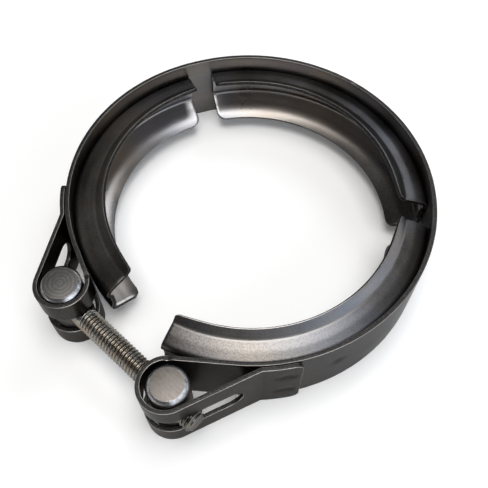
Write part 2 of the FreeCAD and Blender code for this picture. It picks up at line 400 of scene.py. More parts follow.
def ruled_blank(outline, slots, stations, rows):
    """Flat blank in the XY plane from an outline with slots, ruled across and along."""
    mesh = bmesh.new()
    edges = []
    for loop in [outline] + slots:
        verts = [mesh.verts.new((x, y, 0)) for x, y in loop]
        edges += [mesh.edges.new((verts[i], verts[i - 1])) for i in range(len(verts))]
    bmesh.ops.triangle_fill(mesh, edges=edges, use_beauty=True, use_dissolve=False)
    bmesh.ops.dissolve_limit(mesh, angle_limit=0.01, verts=mesh.verts, edges=mesh.edges)
    rules = [(Vector((place, 0, 0)), Vector((1, 0, 0))) for place in stations]
    rules += [(Vector((0, place, 0)), Vector((0, 1, 0))) for place in rows]
    for centre, normal in rules:
        everything = mesh.verts[:] + mesh.edges[:] + mesh.faces[:]
        bmesh.ops.bisect_plane(mesh, geom=everything, dist=1e-7, plane_co=centre, plane_no=normal)
    return mesh


def gridded_blank(length, rows, inset, columns):
    """Flat blank of even quads; inset(row) shortens each row at both ends, for round corners."""
    mesh = bmesh.new()
    lines = []
    for row in rows:
        first = inset(row)
        step = (length - 2 * first) / columns
        lines.append([mesh.verts.new((first + step * column, row, 0)) for column in range(columns + 1)])
    for lower, upper in zip(lines, lines[1:]):
        for column in range(columns):
            mesh.faces.new((lower[column], lower[column + 1], upper[column + 1], upper[column]))
    return mesh


def thicken(mesh, thickness, edge_round, seam_end=False):
    """Gives a flat blank its thickness and rounds its cut edges; a seam end at x = 0 stays square.

    Marks its cut walls and its rounded rims as layers.
    """
    for face in mesh.faces:
        if face.normal.z < 0:
            face.normal_flip()
    under = mesh.faces[:]
    raised = bmesh.ops.extrude_face_region(mesh, geom=under, use_keep_orig=True)
    for item in raised["geom"]:
        if isinstance(item, bmesh.types.BMVert):
            item.co.z += thickness / 2
    for vert in {vert for face in under for vert in face.verts}:
        vert.co.z -= thickness / 2
    bmesh.ops.recalc_face_normals(mesh, faces=mesh.faces[:])
    mesh.normal_update()
    rims = []
    for edge in mesh.edges:
        level = abs(edge.verts[0].co.z - edge.verts[1].co.z) < thickness / 2
        at_seam = seam_end and max(vert.co.x for vert in edge.verts) < SEAM_END
        folded = len(edge.link_faces) == 2 and edge.calc_face_angle() > CUT_EDGE_FOLD
        if level and folded and not at_seam:
            rims.append(edge)
    bmesh.ops.bevel(mesh, geom=rims, offset=edge_round, segments=2, profile=0.5, affect="EDGES")
    cut = mesh.verts.layers.float.new("cut_edge")
    rim = mesh.verts.layers.float.new("worn_rim")
    for vert in mesh.verts:
        if seam_end and vert.co.x < SEAM_END:
            continue
        slopes = [abs(face.normal.z) for face in vert.link_faces]
        on_wall = min(slopes) < WALL_SLOPE
        on_face = max(slopes) > FACE_SLOPE
        vert[cut] = 1.0 if on_wall else 0.0
        vert[rim] = 0.0 if on_wall or on_face else 1.0
    return mesh


def lay_out(mesh, form, darkness):
    """Moves each point of a flat blank to its place on a form.

    Keeps the flat place as a UV and the sheet's darkness(along, across, outward), soot and painted shade
    together, as a layer.
    """
    oxide = mesh.verts.layers.float.new("oxide")
    for vert in mesh.verts:
        vert[oxide] = darkness(*vert.co)
    flat = mesh.loops.layers.uv.new("blank")
    for face in mesh.faces:
        for loop in face.loops:
            loop[flat].uv = (loop.vert.co.x, loop.vert.co.y)
    for vert in mesh.verts:
        vert.co = form(*vert.co)


def make_object(name, mesh, materials, sharp=SHARP_FOLD):
    """Object from a mesh, smooth apart from the folds above a sharp angle in degrees."""
    data = bpy.data.meshes.new(name)
    bmesh.ops.recalc_face_normals(mesh, faces=mesh.faces)
    mesh.to_mesh(data)
    mesh.free()
    for material in materials:
        data.materials.append(material)
    data.shade_smooth()
    data.set_sharp_from_angle(angle=math.radians(sharp))
    thing = bpy.data.objects.new(name, data)
    bpy.context.scene.collection.objects.link(thing)
    return thing


def spaced(first, last, pitch):
    """Even rule lines between two places, ends left out."""
    count = max(1, round((last - first) / pitch))
    return [first + (last - first) * index / count for index in range(1, count)]


def held(value):
    """Value held between 0 and 1."""
    return min(1.0, max(0.0, value))


def dome(reach):
    """1 at the middle of a pressed mark, falling smoothly to 0 at its rim, where reach is 1."""
    return max(0.0, 1 - reach * reach) ** 2


def slot_outline(first, last):
    """Outline of a slot with round ends, between two places along the middle of a blank."""
    radii = (SLOT_WIDTH / 2, SLOT_WIDTH / 2)
    points = corner_arc((first, 0), radii, math.pi / 2, SLOT_STEPS)
    points += corner_arc((first, 0), radii, math.pi, SLOT_STEPS)[1:]
    points += corner_arc((last, 0), radii, -math.pi / 2, SLOT_STEPS)
    points += corner_arc((last, 0), radii, 0.0, SLOT_STEPS)[1:]
    return points


def strap_blank(path, slot, edge_round):
    """Thickened blank of half the strap, with the wear of its rims."""
    half_width = STRAP_WIDTH / 2
    end = path.length
    radii = (TAB_CORNER, TAB_CORNER)
    outline = [(0.0, -half_width)]
    outline += corner_arc((end - TAB_CORNER, -half_width + TAB_CORNER), radii, -math.pi / 2)
    outline += corner_arc((end - TAB_CORNER, half_width - TAB_CORNER), radii, 0.0)
    outline.append((0.0, half_width))
    starts = leg_starts(path)
    fine_start = starts["loop"] - FINE_BEFORE_LOOP
    fine_end = starts["outer_leg"] + FINE_PAST_LOOP
    stations = spaced(0, fine_start, ARM_PITCH)
    stations += spaced(fine_start, fine_end, BEND_PITCH)
    stations += spaced(fine_end, starts["bend"], LEG_PITCH)
    stations += spaced(starts["bend"], end, BEND_PITCH)
    rows = spaced(-half_width, half_width, ROW_PITCH)
    blank = ruled_blank(outline, [slot_outline(*slot)], stations, rows)
    mesh = thicken(blank, SHEET, edge_round, seam_end=True)
    rim = mesh.verts.layers.float["worn_rim"]
    for vert in mesh.verts:
        if vert.co.z < 0 and vert.co.x < starts["loop"]:
            vert[rim] *= RING_INNER_WEAR
    return mesh


def make_strap_half(side, settings):
    """Half of the strap, formed, welded and staked, and the path that it follows."""
    path, slot = half_strap(side)
    starts = leg_starts(path)
    half_width = STRAP_WIDTH / 2
    stake = starts["loop"] + STAKE_PAST_LOOP_START
    tab_weld = (starts["tab"] + path.length) / 2 + WELD_SHIFT
    arm_weld = RING * (math.pi / 2 - ARM_WELD_AZIMUTH)

    def near_arm_weld(along, across, outward):
        """From 0 to 1 at the spot weld on the outside of the right arm."""
        if side == "left" or outward < 0:
            return 0.0
        return dome(math.hypot(along - arm_weld, across - ARM_WELD_HEIGHT) / WELD_RADIUS)

    def form(along, across, outward):
        point, heading = path.at(along)
        outward -= ARM_WELD_DEPTH * near_arm_weld(along, across, outward)
        near_stake = dome((along - stake) / STAKE_HALF_WIDTH)
        near_stake *= max(0.0, 1 - (half_width - across) / STAKE_REACH)
        across -= settings.stake_depth * near_stake
        outward *= 1 + STAKE_THICKENING * near_stake
        for centre in (-WELD_SPACING / 2, WELD_SPACING / 2):
            reach = math.hypot(along - tab_weld, across - centre) / WELD_RADIUS
            outward += TAB_GAP * min(1.0, WELD_FLATNESS * dome(reach))
        placed = point + left_of(heading) * outward
        return Vector((placed.x * SIDES[side], placed.y, STRAP_MIDDLE + across))

    def darkness(along, across, outward):
        # Outer face: painted shade all over, and the dark spot weld on the right arm.
        if outward > 0:
            return RING_OUTSIDE_SHADE + (1 - RING_OUTSIDE_SHADE) * near_arm_weld(along, across, outward)
        beside = abs(abs(across) - WELD_SPACING / 2)
        if abs(along - tab_weld) < WELD_RADIUS and beside < WELD_RADIUS / 2:
            return 1.0
        # Inner face: a little soot, and painted shade from just before each loop on through the loop, outer
        # leg and tab.
        return RING_INSIDE_SOOT + LOOP_SHADE * held((along - starts["loop"]) / LOOP_SHADE_FADE + 1)

    mesh = strap_blank(path, slot, settings.edge_round)
    lay_out(mesh, form, darkness)
    strap = make_object(f"strap_{side}_half", mesh, [sheet_finish("strap", STRAP_STREAK)])
    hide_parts("band_strap")
    return strap, path


def corner_inset(distance, radii):
    """How much a round corner of radii (along, across) shortens a row at a distance from the lip."""
    along, across = radii
    if distance >= across:
        return 0.0
    return along * (1 - math.sqrt(1 - (1 - distance / across) ** 2))


def retainer_section():
    """Middle line of the pressed channel, from the upper lip to the lower."""
    lower = [(radius, -height, bend) for radius, height, bend in SECTION[::-1]]
    crease_radius, crease_height, _ = lower[-2]
    lower[-2] = (crease_radius, crease_height, LOWER_CREASE_BEND)
    return rounded_path(list(SECTION) + lower)


def retainer_blank(section, edge_round):
    """Thickened blank of a retainer, with the wear of its rims and its crease."""
    stretch = RING / LIP_RADIUS
    width = section.length
    corner_start = width - LOWER_CORNER
    bends = [place for place in section.bends() if place < corner_start]
    marks = [UPPER_CORNER] + bends + [corner_start]
    rows = [UPPER_CORNER * share for share in UPPER_CORNER_ROWS]
    for first, last in zip(marks, marks[1:]):
        rows += [first] + spaced(first, last, RETAINER_ROW_PITCH)
    rows += [width - LOWER_CORNER * share for share in LOWER_CORNER_ROWS]

    def inset(row):
        upper = corner_inset(row, (UPPER_CORNER * stretch, UPPER_CORNER))
        return upper + corner_inset(width - row, (LOWER_CORNER * stretch, LOWER_CORNER))

    mesh = thicken(gridded_blank(RETAINER_LENGTH, rows, inset, RETAINER_COLUMNS), SHEET, edge_round)
    crease_start, crease_end = section.bends()[:2]
    rim = mesh.verts.layers.float["worn_rim"]
    for vert in mesh.verts:
        if vert.co.z < 0:
            vert[rim] *= GROOVE_WEAR
        elif crease_start - NEAR < vert.co.y < crease_end + NEAR:
            vert[rim] = CREASE_WEAR
    return mesh


def retainer_form(section, centre, arc_radius, start, mirror, flare):
    """Form of a retainer that runs clockwise about its arc's centre, drawn on the +X side."""
    widen = arc_radius - RING
    crease = section.bends()[0]
    start_flare, end_flare = flare

    def form(along, across, outward):
        place, heading = section.at(across)
        point = place + left_of(heading) * outward
        lean = start_flare * math.exp(-along / FLARE_FADE)
        lean += end_flare * math.exp((along - RETAINER_LENGTH) / FLARE_FADE)
        lean *= max(0.0, 1 - across / crease)
        azimuth = start - along / arc_radius
        spot = centre + heading_vector(azimuth) * (point.x + widen + lean)
        return Vector((spot.x * mirror, spot.y, point.y))

    return form


def make_retainer(place, centre, arc_radius, start, mirror, settings):
    """Retainer at its place on the strap, pressed from its blank."""
    section = retainer_section()
    crease_start = section.bends()[0]
    form = retainer_form(section, centre, arc_radius, start, mirror, LIP_FLARE[place])

    def darkness(along, across, outward):
        # Groove side: painted shade, deepening towards the far end.
        if outward < 0:
            return GROOVE_SHADE[place] * (along / RETAINER_LENGTH) ** 2
        dimming = LIP_SOOT if across < crease_start else LEG_SOOT[place]
        if place == "middle":
            return dimming
        # A side retainer adds painted shade towards its mouth.
        return dimming + MOUTH_SHADE * math.exp((along - RETAINER_LENGTH) / MOUTH_SHADE_FADE)

    mesh = retainer_blank(section, settings.edge_round)
    lay_out(mesh, form, darkness)
    name = f"retainer_{place}_formed"
    retainer = make_object(name, mesh, [sheet_finish("retainer", RETAINER_STREAK)])
    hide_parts(name.removesuffix("_formed"))
    return retainer


# Turned pieces


def ring_of(mesh, height, radii):
    """Ring of vertices about Z at a height, one for each radius."""
    ring = []
    for step, radius in enumerate(radii):
        angle = 2 * math.pi * step / len(radii)
        ring.append(mesh.verts.new((radius * math.cos(angle), radius * math.sin(angle), height)))
    return ring


def skin(mesh, rings):
    """Faces from each ring of vertices to the next; a ring of one vertex closes an end."""
    for lower, upper in zip(rings, rings[1:]):
        steps = max(len(lower), len(upper))
        for step in range(steps):
            following = (step + 1) % steps
            if len(lower) == 1:
                mesh.faces.new((lower[0], upper[following], upper[step]))
            elif len(upper) == 1:
                mesh.faces.new((lower[step], lower[following], upper[0]))
            else:
                mesh.faces.new((lower[step], lower[following], upper[following], upper[step]))


def turned_solid(profile, steps):
    """Solid of revolution about Z from a profile of (radius, height) that starts and ends on the axis."""
    mesh = bmesh.new()
    rings = []
    for radius, height in profile:
        if radius == 0:
            rings.append([mesh.verts.new((0, 0, height))])
        else:
            rings.append(ring_of(mesh, height, [radius] * steps))
    skin(mesh, rings)
    return mesh


def make_drill(side, first, radius, depth):
    """Cutter for a bore along the stud, from a distance past the bolt trunnion's axis."""
    end = depth + MM
    drill = turned_solid([(0, 0), (radius, 0), (radius, end), (0, end)], BORE_STEPS)
    drill.transform(stud_matrix(first))
    return make_object(f"{side}_drill", drill, [])


def make_trunnion(side, settings):
    """Round pin with chamfered ends and a cross bore towards its mate."""
    low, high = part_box(TRUNNION_NODE[side])
    if side == "left":
        chamfer = settings.bolt_pin_chamfer
        finish = pin_finish("bolt_pin", TRUNNION[side], turning=True)
        cutter = make_drill(side, TRUNNION_RADIUS - SOCKET_DEPTH, settings.neck_radius, SOCKET_DEPTH)
    else:
        chamfer = settings.plain_pin_chamfer
        finish = pin_finish("plain_pin", TRUNNION[side], turning=False)
        bore_start = STUD_SPACING - 2 * TRUNNION_RADIUS
        cutter = make_drill(side, bore_start, settings.bore_radius, 4 * TRUNNION_RADIUS)
    rim = TRUNNION_RADIUS - chamfer
    profile = [
        (0, low.z),
        (rim, low.z),
        (TRUNNION_RADIUS, low.z + chamfer),
        (TRUNNION_RADIUS, high.z - chamfer),
        (rim, high.z),
        (0, high.z),
    ]
    mesh = turned_solid(profile, PIN_STEPS)
    for vert in mesh.verts:
        vert.co += Vector((TRUNNION[side].x, TRUNNION[side].y, 0))
    pin = make_object(f"{TRUNNION_NODE[side]}_turned", mesh, [finish, chamfer_finish()])
    bore = pin.modifiers.new("cross bore", "BOOLEAN")
    bore.object = cutter
    bore.operation = "DIFFERENCE"
    soften = pin.modifiers.new("crisp edges", "BEVEL")
    soften.width = CRISP_EDGE
    soften.segments = 2
    soften.limit_method = "ANGLE"
    soften.angle_limit = CRISP_ANGLE
    bake_modifiers(pin)
    bpy.data.objects.remove(cutter)
    for face in pin.data.polygons:
        face.material_index = 1 if 0.3 < abs(face.normal.z) < 0.99 else 0
    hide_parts(TRUNNION_NODE[side])
    return pin


def bake_modifiers(thing):
    bpy.context.view_layer.update()
    evaluated = thing.evaluated_get(bpy.context.evaluated_depsgraph_get())
    data = bpy.data.meshes.new_from_object(evaluated)
    thing.modifiers.clear()
    thing.data = data
    data.set_sharp_from_angle(angle=math.radians(SHARP_FOLD))


def stud_matrix(distance):
    """Stands local +Z along the stud, with its origin that far from the bolt trunnion's axis."""
    turn = STUD_ALONG.to_track_quat("Z", "Y").to_matrix().to_4x4()
    return Matrix.Translation(STUD_START + STUD_ALONG * distance) @ turn


def thread_depth(phase):
    """Depth of a metric thread below its crest, as a share of the full depth, across one pitch."""
    from_crest = abs((phase % 1.0) - 0.5) * 2
    if from_crest > 1 - THREAD_CREST:
        return 0.0
    if from_crest < THREAD_ROOT:
        return 1.0
    return (1 - THREAD_CREST - from_crest) / (1 - THREAD_CREST - THREAD_ROOT)


def make_stud(settings):
    """Plain neck, then a rolled metric thread to a chamfered tip."""
    pitch = settings.thread_pitch
    crest = settings.stud_radius
    depth = THREAD_DEPTH * pitch
    first = TRUNNION_RADIUS - SOCKET_DEPTH
    tip = (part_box("bolt_stud")[1].x - STUD_START.x + crest * STUD_ALONG.y) / STUD_ALONG.x
    neck_end = THREAD_START_PAST_TRUNNION - first
    length = tip - first
    rows = round((length - neck_end) / pitch * THREAD_ROWS)
    angles = [2 * math.pi * step / THREAD_STEPS for step in range(THREAD_STEPS)]

    def threaded(height, angle):
        turns = (height - neck_end) / pitch - angle / (2 * math.pi)
        run_in = held((height - neck_end) / (THREAD_RUN_IN * pitch))
        radius = crest - depth * thread_depth(turns) * run_in
        cone = crest - settings.tip_chamfer + (length - height)
        return min(radius, cone)

    mesh = bmesh.new()
    neck = [settings.neck_radius] * THREAD_STEPS
    rings = [ring_of(mesh, height, neck) for height in (0.0, neck_end - NECK_TAPER)]
    for row in range(rows + 1):
        height = neck_end + (length - neck_end) * row / rows
        rings.append(ring_of(mesh, height, [threaded(height, angle) for angle in angles]))
    bottom = mesh.verts.new((0, 0, 0))
    top = mesh.verts.new((0, 0, length))
    skin(mesh, [[bottom], *rings, [top]])
    oxide = mesh.verts.layers.float.new("oxide")
    tip_start = STUD_SPACING + TRUNNION_RADIUS - first
    for vert in mesh.verts:
        past = max(neck_end - vert.co.z, vert.co.z - tip_start)
        vert[oxide] = held(past / MM)
    mesh.transform(stud_matrix(first))
    stud = make_object("bolt_stud_threaded", mesh, [stud_finish()], THREAD_SHARP_FOLD)
    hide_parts("bolt_stud")
    return stud


# Finishes


class Finish:
    """One material's nodes, added from left to right."""

    def __init__(self, name):
        self.material = bpy.data.materials.new(name)
        self.material.use_nodes = True
        self.tree = self.material.node_tree
        self.shader = self.tree.nodes["Principled BSDF"]

    def node(self, kind, **settings):
        made = self.tree.nodes.new(kind)
        for key, value in settings.items():
            setattr(made, key, value)
        return made

    def join(self, output, target):
        self.tree.links.new(output, target)

    def place(self, source, scale):
        """Object or blank coordinates, scaled per axis."""
        if source == "blank":
            origin = self.node("ShaderNodeUVMap", uv_map="blank").outputs["UV"]
        else:
            origin = self.node("ShaderNodeTexCoord").outputs["Object"]
        mapping = self.node("ShaderNodeMapping")
        mapping.inputs["Scale"].default_value = scale
        self.join(origin, mapping.inputs["Vector"])
        return mapping.outputs["Vector"]

    def noise(self, place, scale, detail, roughness=0.55):
        made = self.node("ShaderNodeTexNoise")
        made.inputs["Scale"].default_value = scale
        made.inputs["Detail"].default_value = detail
        made.inputs["Roughness"].default_value = roughness
        self.join(place, made.inputs["Vector"])
        return made.outputs["Fac"]

    def cloud(self, scale, detail, roughness=0.55):
        """Noise in the object's own space."""
        return self.noise(self.place("object", (1, 1, 1)), scale, detail, roughness)

    def ramp(self, value, stops):
        """Colour that goes from the first (position, colour) stop to the second."""
        made = self.node("ShaderNodeValToRGB")
        for element, (position, colour) in zip(made.color_ramp.elements, stops):
            element.position = position
            element.color = (*colour, 1)
        self.join(value, made.inputs["Fac"])
        return made.outputs["Color"]

    def mix(self, factor, first, second):
        """Colour between two, each a socket or a plain colour."""
        made = self.node("ShaderNodeMix", data_type="RGBA")
        self.join(factor, made.inputs[MIX_FACTOR])
        for colour, target in ((first, made.inputs[MIX_FIRST]), (second, made.inputs[MIX_SECOND])):
            if isinstance(colour, bpy.types.NodeSocket):
                self.join(colour, target)
            else:
                target.default_value = (*colour, 1)
        return made.outputs[MIX_RESULT]

    def span(self, value, first, last, low, high):
        """Value moved from the range first to last to the range low to high, and held within it."""
        made = self.node("ShaderNodeMapRange")
        made.inputs["From Min"].default_value = first
        made.inputs["From Max"].default_value = last
        made.inputs["To Min"].default_value = low
        made.inputs["To Max"].default_value = high
        self.join(value, made.inputs["Value"])
        return made.outputs["Result"]

    def maths(self, operation, first, second):
        made = self.node("ShaderNodeMath", operation=operation)
        self.join(first, made.inputs[0])
        self.join(second, made.inputs[1])
        return made.outputs[0]

    def times(self, first, second):
        return self.maths("MULTIPLY", first, second)

    def plus(self, first, second):
        return self.maths("ADD", first, second)

    def layer(self, name):
        """A vertex layer of the mesh, from 0 to 1."""
        return self.node("ShaderNodeAttribute", attribute_name=name).outputs["Fac"]

    def bump(self, height, strength, distance, below=None):
        """Surface raised by a height, on top of the relief below it."""
        made = self.node("ShaderNodeBump")
        made.inputs["Strength"].default_value = strength
        made.inputs["Distance"].default_value = distance
        self.join(height, made.inputs["Height"])
        if below is not None:
            self.join(below, made.inputs["Normal"])
        return made.outputs["Normal"]

    def finish(self, colour, roughness, normal):
        """Metal with that colour, roughness and relief."""
        self.shader.inputs["Metallic"].default_value = 1.0
        self.shader.inputs["Specular Tint"].default_value = EDGE_ON_TINT
        self.join(colour, self.shader.inputs["Base Color"])
        self.join(roughness, self.shader.inputs["Roughness"])
        self.join(normal, self.shader.inputs["Normal"])
        return self.material


def darker(colour, share):
    """Colour at a share of its brightness."""
    return tuple(channel * share for channel in colour)


def colours():
    return bpy.context.scene.clamp_finishes


def rolled_sheet(name, base, warm, cool, worn, streak):
    """Heat-darkened stainless sheet: warm and cool patches, rolling streaks, specks, worn rims, and painted
    shade from its darkening layer.
    """
    look = Finish(name)
    streaks = look.noise(look.place("blank", (50, 2600, 1)), 1.0, 4.0)
    patches = look.cloud(60.0, 5.0)
    drift = look.cloud(28.0, 2.0)
    specks = look.cloud(2600.0, 2.0, 0.6)
    oxide = look.layer("oxide")
    cut_edge = look.layer("cut_edge")
    # Dark tone for soot, specks and painted shade alike.
    dimming = darker(base, 0.22)
    tone = look.ramp(patches, ((0.35, base), (0.65, warm)))
    tone = look.mix(look.span(drift, 0.48, 0.66, 0.0, 0.85), tone, cool)
    tone = look.mix(look.span(streaks, 0.5, 0.8, 0.0, streak), tone, worn)
    # Darkening layer: soot and weld marks, and painted shade on the strap, in the retainers' grooves and at
    # their mouths.
    tone = look.mix(look.times(oxide, look.span(patches, 0.3, 0.7, 1.0, 0.8)), tone, dimming)
    tone = look.mix(look.times(oxide, look.span(specks, 0.42, 0.54, 0.7, 0.0)), tone, dimming)
    cut_tone = look.mix(look.span(specks, 0.5, 0.7, 0.0, 0.15), darker(worn, 0.07), worn)
    tone = look.mix(cut_edge, tone, cut_tone)
    wear = look.times(look.layer("worn_rim"), look.span(patches, 0.38, 0.58, 0.3, 0.95))
    tone = look.mix(wear, tone, worn)
    polish = look.span(patches, 0.35, 0.65, 0.26, 0.36)
    rough_cut = look.times(cut_edge, look.span(specks, 0.35, 0.65, 0.2, 0.3))
    grain = look.bump(specks, 0.05, SPECK_HEIGHT)
    normal = look.bump(streaks, 0.06, SCRATCH_HEIGHT, grain)
    return look.finish(tone, look.plus(polish, rough_cut), normal)


def once(name, build):
    """The finish of that name, built the first time it is asked for."""
    return bpy.data.materials.get(name) or build(name)


def sheet_finish(part, streak):
    """Rolled sheet in the colours of the strap or of the retainers."""
    tint = colours()
    tones = [getattr(tint, part + patch) for patch in ("", "_warm", "_cool")]
    return once(f"{part}_sheet", lambda name: rolled_sheet(name, *tones, tint.worn_edge, streak))


def turned_finish(name, face, marks, centre, turning):
    """Bar end with concentric turning marks, or with straight saw marks."""
    look = Finish(name)
    shift = look.node("ShaderNodeMapping")
    shift.inputs["Location"].default_value = (-centre.x, -centre.y, 0)
    coordinate = look.node("ShaderNodeTexCoord")
    look.join(coordinate.outputs["Object"], shift.inputs["Vector"])
    grain = look.cloud(1300.0, 3.0)
    if turning:
        wave = look.node("ShaderNodeTexWave", wave_type="RINGS", rings_direction="Z")
        wave.inputs["Scale"].default_value = 330.0
        wave.inputs["Distortion"].default_value = 3.0
        wave.inputs["Detail"].default_value = 3.0
        wave.inputs["Detail Scale"].default_value = 1.4
        look.join(shift.outputs["Vector"], wave.inputs["Vector"])
        cuts = wave.outputs["Fac"]
    else:
        shift.inputs["Rotation"].default_value = (0, 0, SAW_TURN)
        shift.inputs["Scale"].default_value = (260, 3600, 260)
        cuts = look.noise(shift.outputs["Vector"], 1.0, 3.0)
    tone = look.mix(look.span(cuts, 0.3, 0.7, 0.0, 0.5), face, marks)
    tone = look.mix(look.span(grain, 0.35, 0.6, 0.3, 0.0), tone, darker(face, 0.5))
    roughness = look.span(grain, 0.3, 0.7, 0.4, 0.55)
    cut = look.bump(cuts, 0.3, SCRATCH_HEIGHT)
    normal = look.bump(grain, 0.15, SCRATCH_HEIGHT, cut)
    return look.finish(tone, roughness, normal)


def chamfer_finish():
    """Smooth bright cut of a pin's chamfers."""
    tint = colours()

    def build(name):
        look = Finish(name)
        grain = look.cloud(900.0, 3.0)
        tone = look.mix(look.span(grain, 0.35, 0.65, 0.0, 0.6), tint.chamfer, tint.bolt_pin)
        roughness = look.span(grain, 0.3, 0.7, 0.16, 0.3)
        return look.finish(tone, roughness, look.bump(grain, 0.1, SCRATCH_HEIGHT))

    return once("bright_chamfer", build)


def pin_finish(part, centre, turning):
    """Bar end in the colours of one of the trunnions."""
    tint = colours()
    face, marks = getattr(tint, part), getattr(tint, f"{part}_marks")
    return turned_finish(f"{part}_steel", face, marks, centre, turning)


def stud_finish():
    """Yellowed plating, dark at the neck and the tip."""
    tint = colours()
    look = Finish("stud_plating")
    patches = look.cloud(260.0, 4.0)
    grain = look.cloud(2400.0, 3.0)
    tone = look.ramp(patches, ((0.35, tint.stud), (0.65, tint.stud_warm)))
    dark = darker(tint.stud, 0.35)
    tone = look.mix(look.span(grain, 0.35, 0.6, 0.3, 0.0), tone, dark)
    oxide = look.times(look.layer("oxide"), look.span(patches, 0.3, 0.7, 1.0, 0.6))
    tone = look.mix(oxide, tone, dark)
    roughness = look.span(grain, 0.0, 1.0, 0.15, 0.36)
    normal = look.bump(grain, 0.2, PLATING_HEIGHT)
    return look.finish(tone, roughness, normal)


# Settings


def measure(name, description, default):
    """Length that a user may change."""
    return FloatProperty(name=name, description=description, default=default, unit="LENGTH", precision=5)


def shade(name, description, default):
    """Colour that a user may change."""
    return FloatVectorProperty(name=name, description=description, default=default, size=3, subtype="COLOR")


def power(name, description, default):
    """Power of a light that a user may change."""
    return FloatProperty(name=name, description=description, default=default, unit="POWER")


class ClampSizes(bpy.types.PropertyGroup):
    edge_round: measure("Edge round", "Rounding of the sheet's cut edges", 0.16 * MM)
    stake_depth: measure("Stake depth", "Depth of the notch punched beside each trunnion", 0.4 * MM)
    bolt_pin_chamfer: measure("Bolt pin chamfer", "Chamfer of the bolt trunnion's ends", 0.8 * MM)
    plain_pin_chamfer: measure("Plain pin chamfer", "Chamfer of the plain trunnion's ends", 1.1 * MM)
    stud_radius: measure("Stud radius", "Radius over the thread's crests", 3.0 * MM)
    neck_radius: measure("Neck radius", "Radius of the stud's plain neck", 3.1 * MM)
    bore_radius: measure("Bore radius", "Radius of the plain trunnion's cross bore", 3.3 * MM)
    thread_pitch: measure("Thread pitch", "Distance between two crests of the thread", 1.0 * MM)
    tip_chamfer: measure("Tip chamfer", "Chamfer of the stud's end", 0.9 * MM)


class ClampFinishes(bpy.types.PropertyGroup):
    strap: shade("Strap", "Darkened face of the strap", (0.13, 0.125, 0.12))
    strap_warm: shade("Strap, warm", "Warmer patches of the strap", (0.19, 0.17, 0.15))
    strap_cool: shade("Strap, cool", "Cooler patches of the strap", (0.15, 0.15, 0.16))
    retainer: shade("Retainer", "Darkened face of the retainers", (0.235, 0.22, 0.208))
    retainer_warm: shade("Retainer, warm", "Warmer patches of the retainers", (0.33, 0.29, 0.255))
    retainer_cool: shade("Retainer, cool", "Blued patches of the retainers", (0.22, 0.24, 0.285))
    worn_edge: shade("Worn edge", "Bright metal where an edge is worn", (0.5, 0.48, 0.46))
    chamfer: shade("Chamfer", "Bright cut of the pins' chamfers", (0.5, 0.5, 0.51))
    bolt_pin: shade("Bolt trunnion", "End face of the bolt trunnion", (0.12, 0.115, 0.111))
    bolt_pin_marks: shade("Turning marks", "Turning marks of the bolt trunnion", (0.185, 0.178, 0.172))
    plain_pin: shade("Plain trunnion", "End face of the plain trunnion", (0.16, 0.145, 0.133))
    plain_pin_marks: shade("Saw marks", "Saw marks of the plain trunnion", (0.29, 0.265, 0.245))
    stud: shade("Stud", "Plating of the stud", (0.33, 0.33, 0.315))
    stud_warm: shade("Stud, warm", "Warmer patches of the stud's plating", (0.33, 0.275, 0.215))


class StageSettings(bpy.types.PropertyGroup):
    overhead_power: power("Overhead light", "Power of the light above", 8.2)
    side_power: power("Side light", "Power of the light at the right", 1.1)
    back_power: power("Back light", "Power of the light behind", 0.8)
    corner_power: power("Corner light", "Power of the light behind at the right", 0.3)
    sky: FloatProperty(name="Sky", description="Strength of the world's light", default=0.14)
    paper_glow: FloatProperty(name="Paper", description="Own brightness of the floor", default=0.1)
    backdrop_glow: FloatProperty(name="Backdrop", description="Own brightness of the backdrop", default=0.75)
    backdrop_height: measure("Backdrop height", "Height of the wall of paper round the floor", 0.28)
    lens: FloatProperty(name="Lens", description="Focal length of the camera", default=48.3, unit="CAMERA")


# Operators


class CLAMP_OT_strap(bpy.types.Operator):
    """Form both halves of the strap and let each bend at the gap behind its arm"""

    bl_idname = "clamp.strap"
    bl_label = "Strap"

    def execute(self, context):
        for side, mirror in SIDES.items():
            strap, path = make_strap_half(side, context.scene.clamp_sizes)
            starts = leg_starts(path)
            gap_ends = [path.at(starts[leg])[0] for leg in ("gap", "arm")]
            ends = [(point.x * mirror, point.y, STRAP_MIDDLE) for point in gap_ends]
            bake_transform(strap, "strap_back", f"{side}_arm", *ends)
        return {"FINISHED"}


class CLAMP_OT_retainers(bpy.types.Operator):
    """Press the three vee retainers and fix each to its part of the strap"""

    bl_idname = "clamp.retainers"
    bl_label = "Retainers"

    def execute(self, context):
        sizes = context.scene.clamp_sizes
        start = math.pi / 2 + RETAINER_SPAN / 2
        middle = make_retainer("middle", Vector((0, 0, 0)), RING, start, 1, sizes)
        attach(middle, "strap_back")
        for side, mirror in SIDES.items():
            path, _ = half_strap(side)
            point, heading = path.at(leg_starts(path)["arm"])
            radius = ARM_RADIUS[side]
            centre = point - left_of(heading) * radius
            retainer = make_retainer(side, centre, radius, heading + math.pi / 2, mirror, sizes)
            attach(retainer, f"{side}_arm")
        return {"FINISHED"}


class CLAMP_OT_trunnions(bpy.types.Operator):
    """Turn both trunnions and bore them for the stud"""

    bl_idname = "clamp.trunnions"
    bl_label = "Trunnions"

    def execute(self, context):
        for side, body in (("left", "tee_bolt"), ("right", "spacer")):
            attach(make_trunnion(side, context.scene.clamp_sizes), body)
        return {"FINISHED"}


class CLAMP_OT_stud(bpy.types.Operator):
    """Roll the stud's thread and fix it in the bolt trunnion"""

    bl_idname = "clamp.stud"
    bl_label = "Stud"

    def execute(self, context):
        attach(make_stud(context.scene.clamp_sizes), "tee_bolt")
        return {"FINISHED"}


